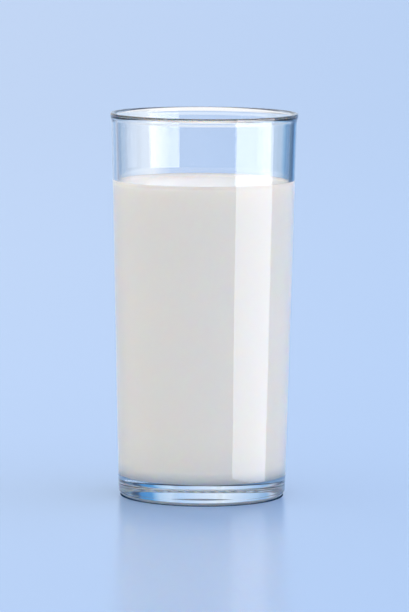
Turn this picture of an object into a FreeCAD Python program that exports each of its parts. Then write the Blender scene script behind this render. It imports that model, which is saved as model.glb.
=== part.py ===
import FreeCAD, Part
import math
import os
import Sketcher

# A tall straight-sided tumbler of milk. Both pieces are turned about Z; the glass stands on z = 0.
# All sizes are in millimetres.

SIZES = (
    # alias, value, what it is
    ("glassHeight", 135.0, "rim above the table"),
    ("mouthRadius", 32.6, "outer wall carried up to the height of the rim"),
    ("footRadius", 29.4, "outer wall carried down to the table"),
    ("wallThickness", 2.05, "side wall, square to its slope"),
    ("beadProud", 0.35, "how much thicker than the wall the fire-polished rim is"),
    ("beadDrop", 3.2, "where the wall starts to swell, below the rim"),
    ("floorThickness", 6.9, "inner floor above the table"),
    ("cornerRadius", 5.0, "inner corner between floor and wall"),
    ("heelRadius", 2.4, "outer corner between wall and foot"),
    ("ringWidth", 2.6, "flat ring that the glass stands on"),
    ("pushUpDepth", 1.3, "hollow under the foot, at its centre"),
    ("milkDrop", 24.6, "surface of the milk below the rim"),
    ("milkClearance", 0.05, "between the milk and the glass"),
)

# Where sketch points and axes are counted from
ORIGIN = (-1, 1)
H_AXIS, V_AXIS = -1, -2
START, END, CENTRE = 1, 2, 3


def add_sizes(doc):
    """The spreadsheet of driving dimensions: name, value and note in each row."""
    sheet = doc.addObject("Spreadsheet::Sheet", "Sizes")
    for row, (alias, value, note) in enumerate(SIZES, start=1):
        sheet.set(f"A{row}", alias)
        sheet.set(f"B{row}", str(value))
        sheet.setAlias(f"B{row}", alias)
        sheet.set(f"C{row}", note)
    doc.recompute()
    return sheet


def origin_plane(body, role):
    return next(f for f in body.Origin.OriginFeatures if f.Role == role)


def line(sketch, start, end, construction=False):
    points = [FreeCAD.Vector(x, y, 0) for x, y in (start, end)]
    return sketch.addGeometry(Part.LineSegment(*points), construction)


def arc(sketch, centre, radius, start_degrees, end_degrees):
    """An arc that runs anticlockwise from its start to its end."""
    circle = Part.Circle(FreeCAD.Vector(*centre, 0), FreeCAD.Vector(0, 0, 1), radius)
    span = math.radians(start_degrees), math.radians(end_degrees)
    return sketch.addGeometry(Part.ArcOfCircle(circle, *span))


def relate(sketch, kind, *where):
    sketch.addConstraint(Sketcher.Constraint(kind, *where))


def measure(sketch, name, expression, value, kind, *where):
    """A dimension of the sketch, started at a value, that follows an expression over the sheet."""
    index = sketch.addConstraint(Sketcher.Constraint(kind, *where, value))
    sketch.renameConstraint(index, name)
    sketch.setExpression(f"Constraints.{name}", expression)


def draw_slope(sketch, sheet):
    """The outer wall's straight slope, a construction line that both sections are measured from."""
    slope = line(sketch, (sheet.footRadius, 0), (sheet.mouthRadius, sheet.glassHeight), True)
    relate(sketch, "PointOnObject", slope, START, H_AXIS)
    measure(sketch, "foot", "Sizes.footRadius", sheet.footRadius, "DistanceX", *ORIGIN, slope, START)
    measure(sketch, "mouth", "Sizes.mouthRadius", sheet.mouthRadius, "DistanceX", *ORIGIN, slope, END)
    measure(sketch, "rim", "Sizes.glassHeight", sheet.glassHeight, "DistanceY", *ORIGIN, slope, END)
    return slope


def draw_hollow(sketch, sheet, slope, top, inset):
    """The inside of the glass from the axis out: floor, round corner and wall, moved in by an inset.
    It returns the floor and the wall, whose free ends the caller joins up."""
    gap, extra = (f" + Sizes.{inset}", getattr(sheet, inset)) if inset else ("", 0)
    floor_height = sheet.floorThickness + extra
    radius = sheet.cornerRadius - extra
    thickness = sheet.wallThickness + extra
    wall_foot = sheet.footRadius - thickness
    wall_top = sheet.mouthRadius - thickness
    floor = line(sketch, (0, floor_height), (wall_foot - radius, floor_height))
    corner = arc(sketch, (wall_foot - radius, floor_height + radius), radius, -90, 0)
    wall = line(sketch, (wall_foot, floor_height + radius), (wall_top, top))
    relate(sketch, "PointOnObject", floor, START, V_AXIS)
    relate(sketch, "Horizontal", floor)
    relate(sketch, "Tangent", floor, END, corner, START)
    relate(sketch, "Tangent", corner, END, wall, START)
    relate(sketch, "Parallel", wall, slope)
    measure(sketch, "floor", "Sizes.floorThickness" + gap, floor_height, "DistanceY", *ORIGIN, floor, START)
    measure(sketch, "corner", "Sizes.cornerRadius" + gap.replace("+", "-"), radius, "Radius", corner)
    measure(sketch, "wall", "Sizes.wallThickness" + gap, thickness, "Distance", wall, END, slope)
    return floor, wall


def draw_tumbler(sketch, sheet):
    """Half of the glass cut down its middle: foot, heel, wall, rounded rim and inside."""
    lip = (sheet.wallThickness + sheet.beadProud) / 2
    lip_height = sheet.glassHeight - lip
    bead_height = sheet.glassHeight - sheet.beadDrop
    heel = sheet.heelRadius
    heel_x = sheet.footRadius - heel
    ring_x = heel_x - sheet.ringWidth

    slope = draw_slope(sketch, sheet)
    floor, inner_wall = draw_hollow(sketch, sheet, slope, lip_height, None)

    # The hollow under the foot is part of a ball whose centre is on the axis
    ball = (ring_x**2 + sheet.pushUpDepth**2) / (2 * sheet.pushUpDepth)
    hollow = arc(sketch, (0, sheet.pushUpDepth - ball), ball, 80, 90)
    relate(sketch, "PointOnObject", hollow, CENTRE, V_AXIS)
    relate(sketch, "PointOnObject", hollow, END, V_AXIS)
    relate(sketch, "PointOnObject", hollow, START, H_AXIS)
    measure(sketch, "pushUp", "Sizes.pushUpDepth", sheet.pushUpDepth, "DistanceY", *ORIGIN, hollow, END)

    ring = line(sketch, (ring_x, 0), (heel_x, 0))
    relate(sketch, "Coincident", ring, START, hollow, START)
    relate(sketch, "Horizontal", ring)
    measure(sketch, "ring", "Sizes.ringWidth", sheet.ringWidth, "DistanceX", ring, START, ring, END)

    heel_arc = arc(sketch, (heel_x, heel), heel, -90, 0)
    relate(sketch, "Tangent", ring, END, heel_arc, START)
    measure(sketch, "heel", "Sizes.heelRadius", heel, "Radius", heel_arc)

    wall = line(sketch, (sheet.footRadius, heel), (sheet.mouthRadius, bead_height))
    relate(sketch, "Tangent", heel_arc, END, wall, START)
    relate(sketch, "PointOnObject", wall, START, slope)
    relate(sketch, "PointOnObject", wall, END, slope)
    bead = "Sizes.glassHeight - Sizes.beadDrop"
    measure(sketch, "bead", bead, bead_height, "DistanceY", *ORIGIN, wall, END)

    swell = line(sketch, (sheet.mouthRadius, bead_height), (sheet.mouthRadius, lip_height))
    lip_arc = arc(sketch, (sheet.mouthRadius - lip, lip_height), lip, 0, 180)
    relate(sketch, "Coincident", wall, END, swell, START)
    relate(sketch, "Tangent", swell, END, lip_arc, START)
    relate(sketch, "Tangent", lip_arc, END, inner_wall, END)
    half_lip = "(Sizes.wallThickness + Sizes.beadProud) / 2"
    lip_top = "Sizes.glassHeight - " + half_lip
    measure(sketch, "lip", half_lip, lip, "Radius", lip_arc)
    measure(sketch, "lipTop", lip_top, lip_height, "DistanceY", *ORIGIN, lip_arc, CENTRE)

    close_on_axis(sketch, (floor, START), (hollow, END))


def draw_milk(sketch, sheet):
    """Half of the milk cut down its middle: the inside of the glass up to the level, less a clearance."""
    level = sheet.glassHeight - sheet.milkDrop
    slope = draw_slope(sketch, sheet)
    floor, wall = draw_hollow(sketch, sheet, slope, level, "milkClearance")
    surface = line(sketch, (sheet.mouthRadius - sheet.wallThickness, level), (0, level))
    relate(sketch, "Coincident", wall, END, surface, START)
    relate(sketch, "Horizontal", surface)
    relate(sketch, "PointOnObject", surface, END, V_AXIS)
    drop = "Sizes.glassHeight - Sizes.milkDrop"
    measure(sketch, "level", drop, level, "DistanceY", *ORIGIN, surface, END)
    close_on_axis(sketch, (surface, END), (floor, START))


def close_on_axis(sketch, upper, lower):
    ends = [sketch.getPoint(*point) for point in (upper, lower)]
    axis = line(sketch, *((0, point.y) for point in ends))
    relate(sketch, "Coincident", axis, START, *upper)
    relate(sketch, "Coincident", axis, END, *lower)


def turn(doc, sheet, label, draw):
    """A body turned about Z from the section that draw puts in its sketch."""
    body = doc.addObject("PartDesign::Body", label)
    body.Label = label
    body.Placement = FreeCAD.Placement()
    sketch = body.newObject("Sketcher::SketchObject", label + "Section")
    sketch.AttachmentSupport = [(origin_plane(body, "XZ_Plane"), "")]
    sketch.MapMode = "FlatFace"
    draw(sketch, sheet)
    doc.recompute()
    if sketch.solve() != 0 or sketch.FullyConstrained is False:
        raise RuntimeError(f"{sketch.Name} is not fully constrained")
    turned = body.newObject("PartDesign::Revolution", label + "Turned")
    turned.Profile = sketch
    turned.ReferenceAxis = (sketch, ["V_Axis"])
    turned.Angle = 360
    doc.recompute()
    return body


def check(doc, bodies):
    """Stops before anything is written if an object failed or a shape is empty or broken."""
    for item in doc.Objects:
        if "Invalid" in item.State or "Error" in item.State:
            raise RuntimeError(f"{item.Name} failed: {item.State}")
    for body in bodies:
        if body.Shape.isNull() or not body.Shape.isValid() or len(body.Shape.Solids) != 1:
            raise RuntimeError(f"{body.Label} is not one valid solid")


def main():
    doc = FreeCAD.newDocument("GlassOfMilk")
    sheet = add_sizes(doc)
    bodies = [turn(doc, sheet, "tumbler", draw_tumbler), turn(doc, sheet, "milk", draw_milk)]
    check(doc, bodies)
    os.makedirs("parts", exist_ok=True)
    for body in bodies:
        body.Shape.exportStep(f"parts/{body.Label}.step")
        print(f"{body.Label}: {body.Shape.Volume / 1000:.1f} cm3")


main()
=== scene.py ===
import bpy
import numpy as np
from mathutils import Matrix, Vector


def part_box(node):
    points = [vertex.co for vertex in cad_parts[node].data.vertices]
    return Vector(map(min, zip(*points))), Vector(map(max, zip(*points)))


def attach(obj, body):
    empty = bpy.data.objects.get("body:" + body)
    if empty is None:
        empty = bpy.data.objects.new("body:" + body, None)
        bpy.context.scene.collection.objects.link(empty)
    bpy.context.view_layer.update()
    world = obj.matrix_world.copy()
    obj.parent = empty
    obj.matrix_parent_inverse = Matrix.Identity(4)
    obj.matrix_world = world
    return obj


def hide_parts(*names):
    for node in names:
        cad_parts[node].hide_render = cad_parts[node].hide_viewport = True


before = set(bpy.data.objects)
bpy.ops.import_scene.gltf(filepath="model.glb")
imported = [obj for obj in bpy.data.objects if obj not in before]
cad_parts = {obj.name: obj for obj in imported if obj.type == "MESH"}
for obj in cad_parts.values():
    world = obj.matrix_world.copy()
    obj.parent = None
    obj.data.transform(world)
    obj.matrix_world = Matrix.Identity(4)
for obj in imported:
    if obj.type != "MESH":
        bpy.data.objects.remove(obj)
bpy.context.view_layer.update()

mm = 0.001  # the frame is in metres; the glass and the milk below are in millimetres


def plainBox(corners):
    return [[float(value) for value in corner] for corner in corners]


glassBox = plainBox(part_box("tumbler"))
milkBox = plainBox(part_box("milk"))
print("frame loaded")


def linearColour(hexCode):
    # each sRGB channel c becomes c / 12.92 when dark, else ((c + 0.055) / 1.055) to the power 2.4
    channels = np.array([int(hexCode[i:i + 2], 16) for i in (1, 3, 5)]) / 255
    linear = np.where(channels <= 0.04045, channels / 12.92, ((channels + 0.055) / 1.055) ** 2.4)
    return (*linear.tolist(), 1.0)


def addNode(tree, kind, settings=None, inputs=None, links=None):
    # adds one node, sets its properties and inputs, and links inputs from other nodes' sockets
    node = tree.nodes.new(kind)
    for name, value in (settings or {}).items():
        setattr(node, name, value)
    for name, value in (inputs or {}).items():
        node.inputs[name].default_value = value
    for name, socket in (links or {}).items():
        tree.links.new(socket, node.inputs[name])
    return node


def emptyMaterial(name):
    material = bpy.data.materials.new(name)
    material.use_nodes = True
    material.node_tree.nodes.clear()
    return material, material.node_tree


def between(start, end, count):
    # count even values between start and end, without either
    return np.linspace(start, end, count + 2)[1:-1]


def arcPoints(centre, radius, startAngle, endAngle, count):
    # points at centre + radius * (cos t, sin t), t even from the start to the end angle in degrees
    t = np.radians(np.linspace(startAngle, endAngle, count))
    return np.column_stack([centre[0] + radius * np.cos(t), centre[1] + radius * np.sin(t)])


def smoothStep(x):
    # 0 below 0, 1 above 1, and 3x^2 - 2x^3 between
    x = np.clip(x, 0, 1)
    return x * x * (3 - 2 * x)


def turnedPiece(name, profile, steps, relief):
    # a profile (r, z) from the axis round the outside and back to the axis, carried round Z:
    # row i at angle a lies at (r cos a, r sin a, z), after relief(r, z, a) has given the moved r and z
    angle = np.linspace(0, 2 * np.pi, steps, endpoint=False)
    rows = profile[1:-1]
    radius, height = relief(rows[:, :1], rows[:, 1:], angle[None, :])
    grid = np.stack([radius * np.cos(angle), radius * np.sin(angle), height], axis=-1)
    count = len(rows)
    poles = np.array([[0, 0, profile[0, 1]], [0, 0, profile[-1, 1]]])
    points = np.vstack([grid.reshape(-1, 3), poles]) * mm

    index = np.arange(count * steps).reshape(count, steps)
    beside = np.roll(index, -1, axis=1)
    quads = np.stack([index[:-1], beside[:-1], beside[1:], index[1:]], axis=-1).reshape(-1, 4)
    firstPole, lastPole = count * steps, count * steps + 1
    firstFan = np.stack([np.full(steps, firstPole), beside[0], index[0]], axis=-1)
    lastFan = np.stack([np.full(steps, lastPole), index[-1], beside[-1]], axis=-1)

    mesh = bpy.data.meshes.new(name)
    mesh.from_pydata(points.tolist(), [], quads.tolist() + firstFan.tolist() + lastFan.tolist())
    mesh.polygons.foreach_set("use_smooth", np.ones(len(mesh.polygons), bool))
    mesh.update()
    piece = bpy.data.objects.new(name, mesh)
    bpy.context.scene.collection.objects.link(piece)
    return piece


# The glass: a machine-blown tumbler with a fire-polished rim
tumblerSizes = {
    "height": glassBox[1][2] / mm,
    "mouthRadius": 32.6,     # outer wall carried up to the rim's height
    "footRadius": 29.4,      # outer wall carried down to the table
    "wall": 2.05,
    "beadProud": 0.35,       # how much thicker than the wall the rim is
    "beadDrop": 3.2,         # the wall starts to swell this far below the top
    "beadFull": 0.7,         # and has swollen in full this far below the rim's rounding
    "lipOutside": 0.3,       # rounding of the rim's outer edge; the rest of its thickness is rounded inwards
    "lipMeets": (88, 91),    # degrees at which the outer rounding ends and the inner one starts
    "floor": 6.9,            # inner floor above the table
    "cornerRadius": 5.0,
    "heelRadius": 2.4,
    "heelEase": 1.0,         # from the heel's middle up to the wall's first row
    "ringWidth": 2.6,        # what the glass stands on
    "pushUp": 1.3,           # hollow under the foot
    "skin": 0.03,            # the outside stays this far inside the solid, so that no wave passes it
    # moulded ribs across the ring, which keep it from scratching
    "ribs": 120,
    "ribDepth": 0.28,
    "ribReach": 0.75,        # to each side of the ring's middle, as a share of its width
    "ribFade": 1.0,          # height in which they die away
    "pointsPerRib": 4,
    # uneven blowing of the wall: waves round the glass, height for one radian, start, share
    "waviness": 0.012,
    "waves": [(2, 31, 0.7, 1.0), (5, -19, 0.0, 0.7), (9, 11, 2.0, 0.5)],
    "waveFoot": 8,           # the waves start this far above the table and below the top
    "waveTop": 6,
    "waveFade": 12,          # and reach their full depth over this height
}
tumblerRows = {
    # rows of points in each stretch of the outline
    "hollow": 16,
    "ring": 6,
    "heel": 14,
    "wall": 40,
    "bead": 12,
    "lipOutside": 12,
    "lipInside": 20,
    "inside": 40,
    "corner": 22,
    "floor": 11,
}
wallSlope = (tumblerSizes["mouthRadius"] - tumblerSizes["footRadius"]) / tumblerSizes["height"]
slopeAngle = np.degrees(np.arctan(wallSlope))
slopeCosine = np.cos(np.radians(slopeAngle))


def wallOutside(z):
    # a straight line: the foot's radius + slope * z, less the skin
    return tumblerSizes["footRadius"] + wallSlope * z - tumblerSizes["skin"]


def wallInside(z):
    # the outside less the wall's thickness, which is measured square to the slope
    return wallOutside(z) - tumblerSizes["wall"] / slopeCosine


def hollowProfile(reach):
    # the inside from the axis outwards: a flat floor and a round corner that ends along the wall;
    # reach moves both into the glass
    s = tumblerSizes
    cornerHeight = s["floor"] + s["cornerRadius"]
    centre = (wallInside(cornerHeight) - s["cornerRadius"] / slopeCosine, cornerHeight)
    corner = arcPoints(centre, s["cornerRadius"] + reach, -90, -slopeAngle, tumblerRows["corner"])
    across = np.linspace(0, corner[0, 0], tumblerRows["floor"] + 1)[:-1]
    floor = np.column_stack([across, np.full(len(across), corner[0, 1])])
    return np.vstack([floor, corner])


def tumblerProfile():
    # from the axis under the foot round the outside, over the lip and down the inside to the axis
    s, rows = tumblerSizes, tumblerRows
    top, heel = s["height"], s["heelRadius"]
    heelCentre = (wallOutside(heel) - heel / slopeCosine, heel)
    ringOut = heelCentre[0]
    ringIn = ringOut - s["ringWidth"]

    # the hollow under the foot: z = pushUp (1 - (r / ringIn)^2)
    r = np.linspace(0, ringIn, rows["hollow"])
    hollow = np.column_stack([r, s["pushUp"] * (1 - (r / ringIn) ** 2)])
    ring = np.column_stack([between(ringIn, ringOut, rows["ring"]), np.zeros(rows["ring"])])
    heelArc = arcPoints(heelCentre, heel, -90, -slopeAngle, rows["heel"])

    # the outer wall, which swells towards the lip by beadProud * smoothStep
    lipOutside = s["lipOutside"]
    beadStart, beadEnd = top - s["beadDrop"], top - lipOutside
    z = np.concatenate([np.linspace(heel + s["heelEase"], beadStart, rows["wall"]),
                        between(beadStart, beadEnd, rows["bead"])])
    swell = s["beadProud"] * smoothStep((z - beadStart) / (beadEnd - s["beadFull"] - beadStart))
    outside = np.column_stack([wallOutside(z) + swell, z])

    # the lip: a tight arc outside and a rounder one inside
    lipInside = s["wall"] + s["beadProud"] - lipOutside
    outerCentre = (wallOutside(beadEnd) + s["beadProud"] - lipOutside / slopeCosine, beadEnd)
    innerCentre = (wallInside(top - lipInside) + lipInside / slopeCosine, top - lipInside)
    outerEnd, innerStart = s["lipMeets"]
    lipArc = np.vstack([
        arcPoints(outerCentre, lipOutside, -slopeAngle, outerEnd, rows["lipOutside"]),
        arcPoints(innerCentre, lipInside, innerStart, 180 - slopeAngle, rows["lipInside"])])

    corner = hollowProfile(0)[::-1]
    z = between(lipArc[-1, 1], corner[0, 1], rows["inside"])
    inside = np.column_stack([wallInside(z), z])
    return np.vstack([hollow, ring, heelArc, outside, lipArc, inside, corner])


def tumblerRelief(r, z, angle):
    # the wall moves in and out by waviness * the sum of share * sin(count * angle + z / rise + start);
    # the ring rises by ribDepth * (1 - |cos(ribs * angle / 2)|), less towards its edges and with height
    s = tumblerSizes
    waves = sum(share * np.sin(count * angle + z / rise + start) for count, rise, start, share in s["waves"])
    fromFoot, fromTop = z - s["waveFoot"], s["height"] - s["waveTop"] - z
    onWall = smoothStep(fromFoot / s["waveFade"]) * smoothStep(fromTop / s["waveFade"])
    radius = r + s["waviness"] * waves * onWall
    ringMiddle = wallOutside(0) - s["heelRadius"] - s["ringWidth"] / 2
    acrossRing = np.clip(1 - ((r - ringMiddle) / (s["ringWidth"] * s["ribReach"])) ** 2, 0, 1)
    underside = np.clip(1 - z / s["ribFade"], 0, 1)
    ribs = s["ribDepth"] * (1 - np.abs(np.cos(s["ribs"] * angle / 2))) * acrossRing * underside
    return radius, z + ribs


tumblerSteps = tumblerSizes["pointsPerRib"] * tumblerSizes["ribs"]
tumbler = turnedPiece("tumblerClear", tumblerProfile(), tumblerSteps, tumblerRelief)
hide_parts("tumbler")
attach(tumbler, "root")
print("glass made")


# The milk: fills the glass up to its level and reaches just into the wall
milkSizes = {
    "level": milkBox[1][2] / mm,
    "reach": 0.08,           # into the wall and floor of the glass, so that no air shows between
    "creep": 1.1,            # how far the milk climbs where it wets the glass
    "creepWidth": 1.5,       # how fast that climb dies away from the wall
    "firstStep": 0.05,       # from the wall to the surface's first row
    "wallZone": 8,           # the surface's rows are finer this near to the wall
    "openBelow": 0.01,       # a face counts as open to the air from this far below the level
    "openFacing": 0.05,      # and when its normal points up by more than this
}
milkRows = {
    "round": 256,
    "side": 49,
    "wallZone": 26,
    "middle": 11,
}


def milkProfile():
    # floor, corner, wall, and a surface that rises to the wall by creep * exp(-distance / creepWidth)
    m, rows = milkSizes, milkRows
    bottom = hollowProfile(m["reach"])
    z = np.linspace(bottom[-1, 1], m["level"] + m["creep"], rows["side"] + 1)[1:]
    side = np.column_stack([wallInside(z) + m["reach"], z])
    rim = side[-1, 0]
    distance = np.concatenate([np.geomspace(m["firstStep"], m["wallZone"], rows["wallZone"]),
                               np.linspace(m["wallZone"], rim, rows["middle"] + 1)[1:]])
    rise = m["creep"] * np.exp(-distance / m["creepWidth"])
    surface = np.column_stack([rim - distance, m["level"] + rise])
    return np.vstack([bottom, side, surface])


def stillSurface(r, z, angle):
    # no relief: each row's r and z at every angle
    return r + 0 * angle, z + 0 * angle


def markFreeSurface(piece):
    # faces that are open to the air take the second material
    mesh = piece.data
    middles = np.zeros(len(mesh.polygons) * 3)
    normals = np.zeros(len(mesh.polygons) * 3)
    mesh.polygons.foreach_get("center", middles)
    mesh.polygons.foreach_get("normal", normals)
    high = middles[2::3] > (milkSizes["level"] - milkSizes["openBelow"]) * mm
    free = high & (normals[2::3] > milkSizes["openFacing"])
    mesh.polygons.foreach_set("material_index", free.astype(np.int32))


milk = turnedPiece("milkBody", milkProfile(), milkRows["round"], stillSurface)
markFreeSurface(milk)
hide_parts("milk")
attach(milk, "root")
print("milk made")


glassLook = {
    "ior": 1.52,
    "tint": "#d6ebfb",       # the blue of its depth
    "density": 7.0,          # per metre
}


def sodaLimeGlass():
    # soda-lime glass, blown in a mould and fire-polished: clear, mirror-smooth, a trace of blue in its depth
    material, tree = emptyMaterial("sodaLimeGlass")
    shader = addNode(tree, "ShaderNodeBsdfPrincipled", inputs={
        "Base Color": (1, 1, 1, 1), "Roughness": 0.0, "IOR": glassLook["ior"], "Transmission Weight": 1.0})
    depth = addNode(tree, "ShaderNodeVolumeAbsorption", inputs={
        "Color": linearColour(glassLook["tint"]), "Density": glassLook["density"]})
    addNode(tree, "ShaderNodeOutputMaterial", links={
        "Surface": shader.outputs["BSDF"], "Volume": depth.outputs["Volume"]})
    return material


milkLook = {
    "colour": "#fbf7ee",
    "ior": 1.35,
    "roughness": 0.18,
    "scatter": 5.0,                      # millimetres that light travels inside
    "scatterShares": (1.0, 0.8, 0.6),    # of it for red, green and blue
    "glossAgainstGlass": 0.0,            # there the glass has the shine
    "glossOpen": 0.05,
}


def wholeMilk(name, gloss):
    # whole milk: fat and protein scatter light within a few millimetres, so it is soft, white and creamy
    material, tree = emptyMaterial(name)
    shader = addNode(tree, "ShaderNodeBsdfPrincipled", inputs={
        "Base Color": linearColour(milkLook["colour"]), "Roughness": milkLook["roughness"],
        "IOR": milkLook["ior"], "Specular IOR Level": gloss, "Subsurface Weight": 1.0,
        "Subsurface Radius": milkLook["scatterShares"], "Subsurface Scale": milkLook["scatter"] * mm})
    addNode(tree, "ShaderNodeOutputMaterial", links={"Surface": shader.outputs["BSDF"]})
    return material


tumbler.data.materials.append(sodaLimeGlass())
milk.data.materials.append(wholeMilk("milkAgainstGlass", milkLook["glossAgainstGlass"]))
milk.data.materials.append(wholeMilk("milkSurface", milkLook["glossOpen"]))
print("materials made")


# The studio: a pale board, light all round, a glowing card, hidden cards with painted shade and light, a soft
# box and the camera.
# Its sizes are in metres unless a note says millimetres, and angles in degrees go round the glass from the
# far side (0) towards +X (90).

def roundGlass(degrees, distance, height):
    # the place (distance sin a, distance cos a, height)
    a = np.radians(degrees)
    return Vector((distance * np.sin(a), distance * np.cos(a), height))


def ringFaces(count, steps):
    # faces between each ring of points and the next one out, and one over the innermost ring
    index = np.arange(count * steps).reshape(count, steps)
    beside = np.roll(index, -1, axis=1)
    quads = np.stack([index[:-1], index[1:], beside[1:], beside[:-1]], axis=-1).reshape(-1, 4)
    return quads.tolist() + [index[0].tolist()]


def stagePiece(name, points, faces, material):
    mesh = bpy.data.meshes.new(name)
    mesh.from_pydata(points, [], faces)
    mesh.materials.append(material)
    piece = bpy.data.objects.new(name, mesh)
    bpy.context.scene.collection.objects.link(piece)
    return piece


board = {
    "radius": 8.0,
    "innermost": 0.02,       # share of s, below, at which the first ring lies
    "rings": 24,
    "steps": 96,
    "gap": 0.05,             # millimetres between the board and the foot
    "colour": "#95b7e4",
    "roughness": 0.2,
    "ior": 1.45,
}


def paintedBoard():
    # a painted board with a soft shine
    material, tree = emptyMaterial("paintedBoard")
    shader = addNode(tree, "ShaderNodeBsdfPrincipled", inputs={
        "Base Color": linearColour(board["colour"]), "Roughness": board["roughness"], "IOR": board["ior"]})
    addNode(tree, "ShaderNodeOutputMaterial", links={"Surface": shader.outputs["BSDF"]})
    return material


def studioFloor():
    # a flat disc whose rings lie at radius * s^2, s even up to 1, so that it is finest under the glass
    s = np.linspace(board["innermost"], 1, board["rings"])[:, None]
    radius = s ** 2 * board["radius"]
    angle = np.linspace(0, 2 * np.pi, board["steps"], endpoint=False)
    height = np.full((board["rings"], board["steps"]), -board["gap"] * mm)
    grid = np.stack([radius * np.cos(angle), radius * np.sin(angle), height], axis=-1)
    faces = ringFaces(board["rings"], board["steps"])
    stagePiece("studioFloor", grid.reshape(-1, 3).tolist(), faces, paintedBoard())


room = {
    # what the glass mirrors and bends: angle and colour all round at eye height, and the colour above
    "seen": [(-180, "#a9bdd6"), (-115, "#b4c4da"), (-100, "#ffffff"), (-56, "#ffffff"), (-46, "#9db9e2"),
             (-25, "#eef6ff"), (-8, "#ecf5ff"), (0, "#dcebff"), (10, "#bfdafb"), (25, "#a6c8f4"),
             (60, "#8aa8cf"), (180, "#a9bdd6")],
    "seenAbove": "#d2dcec",
    # what lights the milk and the board: the side it comes from, and its colour, linear
    "matt": [((0, 1, 0), (1.0, 1.0, 1.0)),
             ((0, -1, 0), (2.06, 1.89, 1.83)),
             ((-1, 0, 0), (2.9, 2.6, 2.28)),
             ((1, 0, 0), (3.35, 3.2, 3.35)),
             ((0, 0, 1), (0.45, 0.45, 0.46))],
}


def afterMatt(tree):
    # 1 for light that is on its way to a matt surface, 0 for light seen straight on or in the glass
    path = addNode(tree, "ShaderNodeLightPath")
    past = addNode(tree, "ShaderNodeMath", {"operation": "GREATER_THAN"}, {1: 0.5},
                   {0: path.outputs["Diffuse Depth"]})
    return past.outputs[0]


def rampPlace(degrees):
    # -180 to 180 degrees become 0 to 1
    return degrees / 360 + 0.5


def studioWorld():
    world = bpy.data.worlds.new("studioWorld")
    world.use_nodes = True
    tree = world.node_tree
    tree.nodes.clear()
    direction = addNode(tree, "ShaderNodeTexCoord").outputs["Generated"]
    parts = addNode(tree, "ShaderNodeSeparateXYZ", links={0: direction})

    # seen: a colour for each angle atan2(x, y), turning to the colour above by z^2
    angle = addNode(tree, "ShaderNodeMath", {"operation": "ARCTAN2"}, None,
                    {0: parts.outputs["X"], 1: parts.outputs["Y"]})
    turn = addNode(tree, "ShaderNodeMath", {"operation": "MULTIPLY_ADD"},
                   {1: 1 / (2 * np.pi), 2: 0.5}, {0: angle.outputs[0]})
    ring = addNode(tree, "ShaderNodeValToRGB", links={"Fac": turn.outputs[0]})
    stops = ring.color_ramp.elements
    for degrees, _ in room["seen"][1:-1]:
        stops.new(rampPlace(degrees))
    for stop, (degrees, colour) in zip(stops, room["seen"]):
        stop.position = rampPlace(degrees)
        stop.color = linearColour(colour)
    up = addNode(tree, "ShaderNodeMath", {"operation": "MULTIPLY"}, None,
                 {0: parts.outputs["Z"], 1: parts.outputs["Z"]})
    seen = addNode(tree, "ShaderNodeMix", {"data_type": "RGBA"}, {"B": linearColour(room["seenAbove"])},
                   {"Factor": up.outputs[0], "A": ring.outputs["Color"]})

    # matt: for each side, its colour times how far the direction points that way, squared
    total = None
    for side, colour in room["matt"]:
        facing = addNode(tree, "ShaderNodeVectorMath", {"operation": "DOT_PRODUCT"}, {1: side},
                         {0: direction})
        ahead = addNode(tree, "ShaderNodeMath", {"operation": "MAXIMUM"}, {1: 0.0},
                        {0: facing.outputs["Value"]})
        squared = addNode(tree, "ShaderNodeMath", {"operation": "POWER"}, {1: 2.0}, {0: ahead.outputs[0]})
        part = addNode(tree, "ShaderNodeVectorMath", {"operation": "SCALE"}, {0: colour},
                       {"Scale": squared.outputs[0]})
        if total is not None:
            part = addNode(tree, "ShaderNodeVectorMath", {"operation": "ADD"}, None,
                           {0: total.outputs[0], 1: part.outputs[0]})
        total = part

    choice = addNode(tree, "ShaderNodeMix", {"data_type": "RGBA"}, None,
                     {"Factor": afterMatt(tree), "A": seen.outputs["Result"], "B": total.outputs[0]})
    background = addNode(tree, "ShaderNodeBackground", links={"Color": choice.outputs["Result"]})
    addNode(tree, "ShaderNodeOutputWorld", links={"Surface": background.outputs["Background"]})
    bpy.context.scene.world = world


strip = {
    "turn": 109.5,
    "shine": 4.5,            # brightness in the glass
    "fill": 1.6,             # brightness on the milk behind the glass
    "colour": "#f4f6ff",
    # distance from the axis, left and right edge, height
    "foot": (0.060, -0.0055, 0.0442, 0.001),
    "head": (0.170, -0.0547, 0.1107, 0.165),
}


def stripCard():
    # a glowing card beside the glass, wider and further away at its top, which makes the long upright
    # highlight; it shows only in the glass and through it
    material, tree = emptyMaterial("stripCard")
    strength = addNode(tree, "ShaderNodeMath", {"operation": "MULTIPLY_ADD"},
                       {1: strip["fill"] - strip["shine"], 2: strip["shine"]}, {0: afterMatt(tree)})
    lit = addNode(tree, "ShaderNodeEmission", inputs={"Color": linearColour(strip["colour"])},
                  links={"Strength": strength.outputs[0]})
    clear = addNode(tree, "ShaderNodeBsdfTransparent")
    throughGlass = addNode(tree, "ShaderNodeLightPath").outputs["Is Singular Ray"]
    both = addNode(tree, "ShaderNodeMixShader",
                   links={0: throughGlass, 1: clear.outputs[0], 2: lit.outputs[0]})
    addNode(tree, "ShaderNodeOutputMaterial", links={"Surface": both.outputs[0]})
    corners = []
    for distance, left, right, height in (strip["foot"], strip["head"]):
        middle = roundGlass(strip["turn"], distance, height)
        sideways = roundGlass(strip["turn"] + 90, 1, 0)
        corners += [middle + sideways * left, middle + sideways * right]
    card = stagePiece("stripCard", corners, [(0, 1, 3, 2)], material)
    card.visible_camera = False
    card.visible_shadow = False


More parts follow.
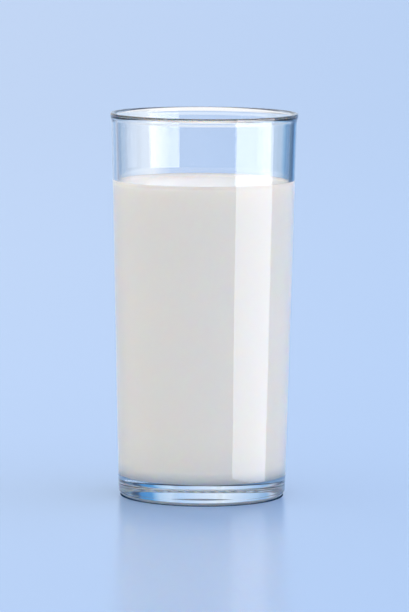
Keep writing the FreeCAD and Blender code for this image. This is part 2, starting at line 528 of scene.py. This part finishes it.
def shadedCard(name, corners, faces, glowColour=None, glowStrength=0.0):
    # a hidden card with a place, a colour and a cover for each corner, which shows only through the glass;
    # its colours are painted shade and painted light; light on its way to a matt surface passes it, or sees a
    # glow
    material, tree = emptyMaterial(name)
    shade = addNode(tree, "ShaderNodeAttribute", {"attribute_name": "shade"})
    matt = afterMatt(tree)
    glow = addNode(tree, "ShaderNodeEmission", links={"Color": shade.outputs["Color"]})
    clear = addNode(tree, "ShaderNodeBsdfTransparent")
    seen = addNode(tree, "ShaderNodeMixShader",
                   links={0: shade.outputs["Alpha"], 1: clear.outputs[0], 2: glow.outputs[0]})
    lit = clear
    if glowColour:
        lit = addNode(tree, "ShaderNodeEmission", inputs={"Color": glowColour, "Strength": glowStrength})
    both = addNode(tree, "ShaderNodeMixShader", links={0: matt, 1: seen.outputs[0], 2: lit.outputs[0]})
    addNode(tree, "ShaderNodeOutputMaterial", links={"Surface": both.outputs[0]})
    card = stagePiece(name, [place for place, _, _ in corners], faces, material)
    shades = card.data.color_attributes.new("shade", "FLOAT_COLOR", "POINT")
    colours = np.array([[*colour[:3], cover] for _, colour, cover in corners])
    shades.data.foreach_set("color", colours.ravel())
    card.visible_glossy = False
    card.visible_shadow = False
    return card


# painted shade and light: dark and blue bands that the edges of the glass show
sideCards = {
    "low": 0.0,
    "high": 0.17,
    "away": 0.2,
    # degrees, colour, how much it covers
    "right": [(8, "#d8e8fc", 0), (12, "#d2e4fa", 1), (17, "#bad6f4", 1), (19.5, "#8fbfea", 1),
              (21.5, "#4f96d2", 1), (29, "#3f8acb", 1), (32, "#2c5076", 1), (37, "#183658", 1),
              (41, "#5f7f9e", 1), (45, "#5c7a98", 1), (52, "#0a1830", 1), (78, "#041024", 1)],
    "left": [(-5, "#f0f7ff", 0), (-8, "#ecf5ff", 1), (-12, "#deecfe", 1), (-17, "#cce0fa", 1),
             (-22, "#bdd7f5", 1), (-28, "#a6c6ea", 1), (-33, "#8fb8e4", 1), (-39, "#ccd6e6", 1),
             (-44, "#a8afbf", 1), (-53, "#14233e", 1), (-78, "#0a1428", 1)],
}


def sideCard(name, columns):
    # an upright folded card painted with shade and light, which gives the edges of the glass their blue and
    # dark lines
    corners = [(roundGlass(degrees, sideCards["away"], height), linearColour(colour), cover)
               for degrees, colour, cover in columns for height in (sideCards["low"], sideCards["high"])]
    faces = [(2 * i, 2 * i + 2, 2 * i + 3, 2 * i + 1) for i in range(len(columns) - 1)]
    shadedCard(name, corners, faces).visible_camera = False


# painted shade and light on the board behind the glass: dark and pale bands that show in the rim and foot
floorCard = {
    # millimetres from the axis, colour straight behind the glass, colour to the sides
    "rows": [(31, "#0a1630", "#0a1630"), (44, "#0a1630", "#0a1630"), (46, "#6f8fb4", "#6f8fb4"),
             (50, "#6f8fb4", "#6f8fb4"), (54, "#0c1c2c", "#0c1c2c"), (126, "#0c1c2c", "#0c1c2c"),
             (136, "#ffffff", "#0a2650"), (700, "#ffffff", "#0f3468"), (1200, "#e4f0ff", "#9cc0ea")],
    "straight": 1.5,         # degrees to each side of straight behind before the colour starts to turn
    "turning": 5,            # degrees over which it turns
    "reach": 75,             # degrees to each side
    "step": 1.5,
    "height": 0.02,          # millimetres above the foot's plane
}


def studioFloorCard():
    # painted shade and light: lies behind the glass and shows in its rim and foot as dark and pale bands;
    # each row's colour goes from the first to the second by smoothStep((|angle| - straight) / turning)
    c = floorCard
    angles = np.arange(-c["reach"], c["reach"] + c["step"] / 2, c["step"])
    share = smoothStep((np.abs(angles) - c["straight"]) / c["turning"])
    corners = []
    for distance, straight, aside in c["rows"]:
        first, last = np.array(linearColour(straight)), np.array(linearColour(aside))
        corners += [(roundGlass(angle, distance * mm, c["height"] * mm), first + (last - first) * part, 1.0)
                    for angle, part in zip(angles, share)]
    index = np.arange(len(corners)).reshape(len(c["rows"]), len(angles))
    faces = np.stack([index[:-1, :-1], index[1:, :-1], index[1:, 1:], index[:-1, 1:]], axis=-1).reshape(-1, 4)
    shadedCard("floorCard", corners, faces.tolist()).visible_camera = False


footShade = {
    # millimetres from the axis, how much it covers
    "rings": [(26.3, 0.0), (27.0, 1.0), (28.8, 1.0)],
    "step": 5,
    "height": -0.02,         # millimetres, just under the foot
    # the painted contact shadow under the heel
    "colour": "#102c46",
    "glow": "#8fb4e4",       # lights the milk from below
    "strength": 0.4,
}


def studioFootShade():
    # a painted contact shadow: a dark ring on the board where the foot stands
    f = footShade
    angles = np.arange(0, 360, f["step"])
    corners = [(roundGlass(angle, radius * mm, f["height"] * mm), linearColour(f["colour"]), cover)
               for radius, cover in f["rings"] for angle in angles]
    faces = ringFaces(len(f["rings"]), len(angles))
    shadedCard("footShade", corners, faces, linearColour(f["glow"]), f["strength"])


softBox = {
    "place": (-0.3, 0.6, 1.4),
    "size": (1.6, 1.2),
    "radiance": 0.05,
    "colour": "#ffffff",
}


def softBoxAbove():
    # a faint soft box that faces the foot of the glass; its power is radiance * pi * area
    data = bpy.data.lights.new("softBoxTop", "AREA")
    data.shape = "RECTANGLE"
    data.size, data.size_y = softBox["size"]
    data.energy = softBox["radiance"] * np.pi * data.size * data.size_y
    data.color = linearColour(softBox["colour"])[:3]
    lamp = bpy.data.objects.new("softBoxTop", data)
    bpy.context.scene.collection.objects.link(lamp)
    lamp.location = softBox["place"]
    lamp.rotation_euler = (-Vector(softBox["place"])).to_track_quat("-Z", "Y").to_euler()
    lamp.visible_camera = False


lens = {
    "millimetres": 260.8,
    "sensor": 36,            # millimetres
    "farthest": 40,          # how far it sees
    "distance": 1.56084,     # from the middle of the glass
    "middle": 0.0675,        # its height
    "elevation": 6.34,
    "yaw": 0.0197,
    "pitch": 6.363,          # down
    "roll": 0.402,
}


def studioCamera():
    # a long lens about a metre and a half away, a little above the rim
    data = bpy.data.cameras.new("camera")
    data.lens = lens["millimetres"]
    data.sensor_width = lens["sensor"]
    data.clip_end = lens["farthest"]
    camera = bpy.data.objects.new("camera", data)
    bpy.context.scene.collection.objects.link(camera)
    elevation, yaw, pitch, roll = np.radians([lens[name] for name in ("elevation", "yaw", "pitch", "roll")])
    forward = np.array([np.sin(yaw) * np.cos(pitch), np.cos(yaw) * np.cos(pitch), -np.sin(pitch)])
    right = np.cross(forward, [0, 0, 1])
    right /= np.linalg.norm(right)
    up = np.cross(right, forward)
    across = np.cos(roll) * right + np.sin(roll) * up
    upright = np.cos(roll) * up - np.sin(roll) * right
    back = lens["distance"] * np.cos(elevation)
    height = lens["middle"] + lens["distance"] * np.sin(elevation)
    turn = Matrix([across, upright, -forward]).transposed().to_4x4()
    camera.matrix_world = Matrix.Translation(Vector((0, -back, height))) @ turn
    bpy.context.scene.camera = camera


studioFloor()
studioWorld()
stripCard()
sideCard("sideCardRight", sideCards["right"])
sideCard("sideCardLeft", sideCards["left"])
studioFloorCard()
studioFootShade()
softBoxAbove()
studioCamera()
bpy.context.scene.view_settings.view_transform = "Standard"
print("studio made")
